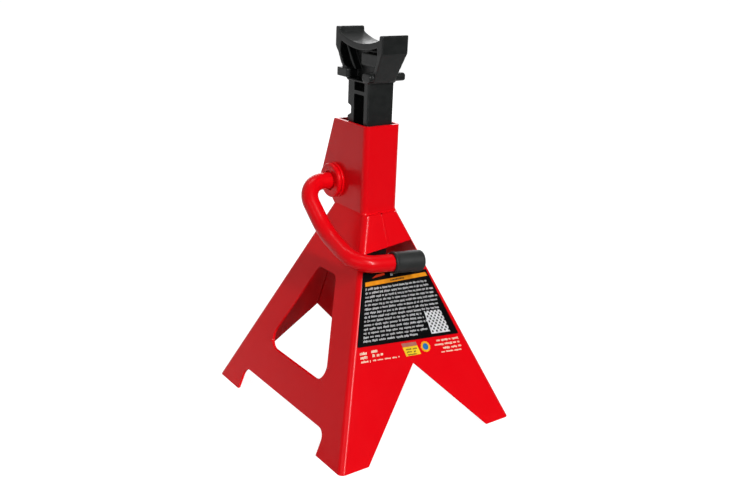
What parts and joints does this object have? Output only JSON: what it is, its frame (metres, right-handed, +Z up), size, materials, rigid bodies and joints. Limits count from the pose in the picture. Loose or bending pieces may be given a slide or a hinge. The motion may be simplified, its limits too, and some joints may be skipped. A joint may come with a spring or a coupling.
{
  "type": "ratchet jack stand",
  "caption": "Red folded-steel axle stand with a ratcheting cast bar, cradle saddle and a bent lift handle with a rubber grip.",
  "frame": {"origin": "middle of the base's footprint, on the floor", "axes": "+Z up, +X to the right along the front face, +Y from the labelled front face towards the back"},
  "size_m": [0.244, 0.282, 0.4444],
  "materials": {
    "red_paint": "glossy red powder coat",
    "black_cast": "semi-gloss black paint on a casting",
    "rubber": "moulded black rubber",
    "zinc": "bright zinc plated steel",
    "pawl_steel": "oiled forged steel",
    "label": "printed adhesive film"
  },
  "bodies": {
    "frame": {"base_left_half": "red_paint", "base_right_half": "red_paint", "front_seam_welds": "red_paint", "back_seam_welds": "red_paint", "sleeve_shell": "red_paint", "sleeve_back_plate": "red_paint", "neck_weld": "red_paint", "left_pivot_boss": "red_paint", "right_pivot_boss": "red_paint", "front_label": "label"},
    "column": {"ratchet_bar": "black_cast", "bar_stop_pin": "zinc", "saddle": "black_cast", "saddle_weld": "black_cast"},
    "handle": {"handle_rod": "red_paint", "pivot_washer": "zinc", "retaining_ring": "zinc", "pawl": "pawl_steel", "pawl_pin": "zinc", "handle_grip": "rubber"}
  },
  "joints": [
    {"name": "column_slide", "type": "slide", "parent": "frame", "child": "column", "axis": [0, 0, 1], "range_m": [-0.036, 0.18]},
    {"name": "handle_lift", "type": "hinge", "parent": "frame", "child": "handle", "pos_m": [0, 0.033, 0.271], "axis": [-1, 0, 0], "range_deg": [0, 40]}
  ]
}
